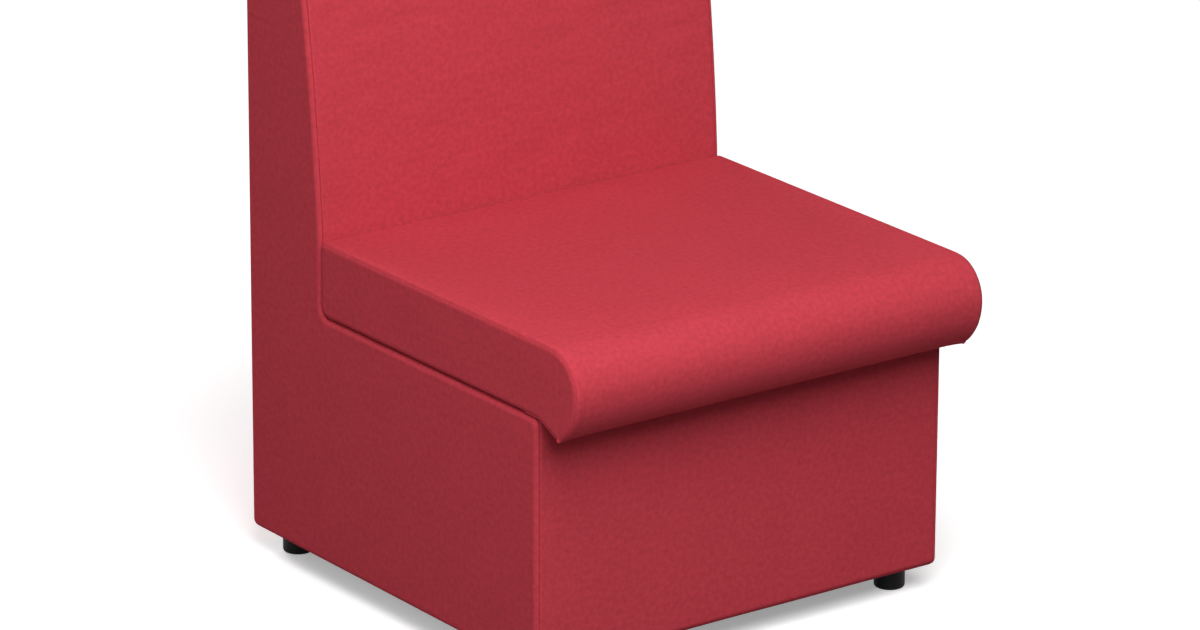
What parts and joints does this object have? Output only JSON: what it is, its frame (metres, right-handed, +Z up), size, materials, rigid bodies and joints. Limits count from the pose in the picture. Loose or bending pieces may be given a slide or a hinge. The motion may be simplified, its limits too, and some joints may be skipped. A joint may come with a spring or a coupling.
{
  "type": "armless modular seat",
  "caption": "Armless upholstered lounge seat with a box base, a leaning padded backrest and a nosed seat cushion on screw-in feet.",
  "frame": {"origin": "on the floor, in the middle of the bounding box seen from above", "axes": "+X to the sitter's left hand side as seen from the front (right in the view from the front), -Y out of the seat's front, +Z up"},
  "size_m": [0.6, 0.678, 0.79],
  "materials": {
    "red_fabric": "fine plain weave wool blend",
    "black_lining": "black spun-bonded lining",
    "foam": "cut polyurethane foam",
    "wadding": "polyester wadding",
    "plywood": "raw plywood",
    "softwood": "raw planed softwood",
    "zinc_steel": "zinc plated",
    "black_plastic": "moulded, satin"
  },
  "bodies": {
    "root": {"back_board": "plywood", "back_cover": "red_fabric", "back_foam": "foam", "base_front_cover": "red_fabric", "base_front_padding": "wadding", "corner_block_front_left": "softwood", "corner_block_front_right": "softwood", "corner_block_rear_left": "softwood", "corner_block_rear_right": "softwood", "dust_cover": "black_lining", "foot_plates": "zinc_steel", "frame_tenons": "softwood", "front_panel": "plywood", "lumbar_rail": "softwood", "rear_board": "plywood", "rear_bottom_rail": "softwood", "rear_cover": "red_fabric", "rear_middle_rail": "softwood", "seat_board": "plywood", "seat_foam": "foam", "seat_front_cleat": "softwood", "seat_rear_rail": "softwood", "seat_screws": "zinc_steel", "seat_side_cleat_left": "softwood", "seat_side_cleat_right": "softwood", "seat_side_cover_left": "red_fabric", "seat_side_cover_right": "red_fabric", "seat_top_cover": "red_fabric", "seat_under_cover": "red_fabric", "side_cover_left": "red_fabric", "side_cover_right": "red_fabric", "side_frame_left": "plywood", "side_frame_right": "plywood", "side_padding_left": "wadding", "side_padding_right": "wadding", "top_padding": "wadding", "top_rail": "softwood"},
    "foot_front_left": {"foot_front_left": "black_plastic", "foot_stem_front_left": "zinc_steel"},
    "foot_front_right": {"foot_front_right": "black_plastic", "foot_stem_front_right": "zinc_steel"},
    "foot_rear_left": {"foot_rear_left": "black_plastic", "foot_stem_rear_left": "zinc_steel"},
    "foot_rear_right": {"foot_rear_right": "black_plastic", "foot_stem_rear_right": "zinc_steel"}
  },
  "joints": [
    {"name": "foot_front_left_thread", "type": "slide", "parent": "root", "child": "foot_front_left", "axis": [0, 0, -1], "range_m": [0, 0.01]},
    {"name": "foot_front_right_thread", "type": "slide", "parent": "root", "child": "foot_front_right", "axis": [0, 0, -1], "range_m": [0, 0.01]},
    {"name": "foot_rear_left_thread", "type": "slide", "parent": "root", "child": "foot_rear_left", "axis": [0, 0, -1], "range_m": [0, 0.01]},
    {"name": "foot_rear_right_thread", "type": "slide", "parent": "root", "child": "foot_rear_right", "axis": [0, 0, -1], "range_m": [0, 0.01]}
  ]
}
